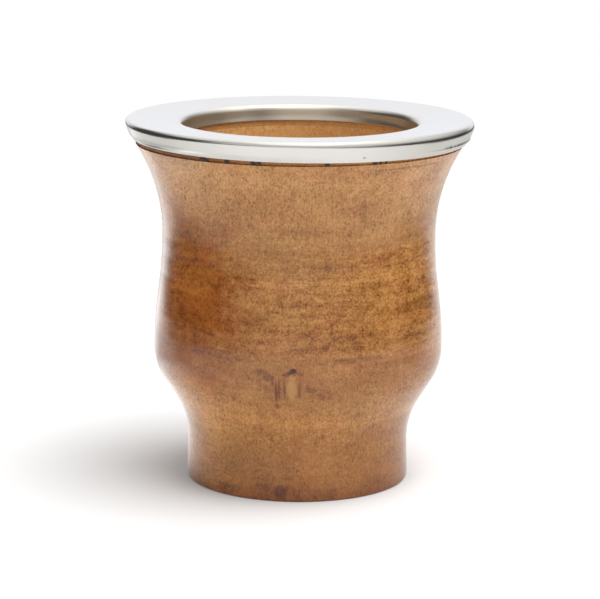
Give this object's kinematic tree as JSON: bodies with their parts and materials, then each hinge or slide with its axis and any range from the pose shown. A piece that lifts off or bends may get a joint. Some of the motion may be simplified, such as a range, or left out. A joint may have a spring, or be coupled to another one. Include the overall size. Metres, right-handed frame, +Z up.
{
  "type": "mate cup",
  "caption": "Turned wooden mate cup: round bowl, waisted belly on a straight foot, and a pressed metal rim glued and crimped over the flared lip.",
  "frame": {"origin": "centre of the base, on the surface that the cup stands on", "axes": "+Z up along the turning axis, -Y towards the front that the picture shows, +X to the right"},
  "size_m": [0.0855, 0.0854, 0.09],
  "materials": {
    "wood": "turned, with a satin clear lacquer",
    "rim_metal": "spun, satin polished",
    "glue": "cured, dull"
  },
  "bodies": {
    "root": {"wooden_body": "wood", "metal_rim": "rim_metal", "glue_bed": "glue", "glue_beads": "glue"}
  },
  "joints": []
}
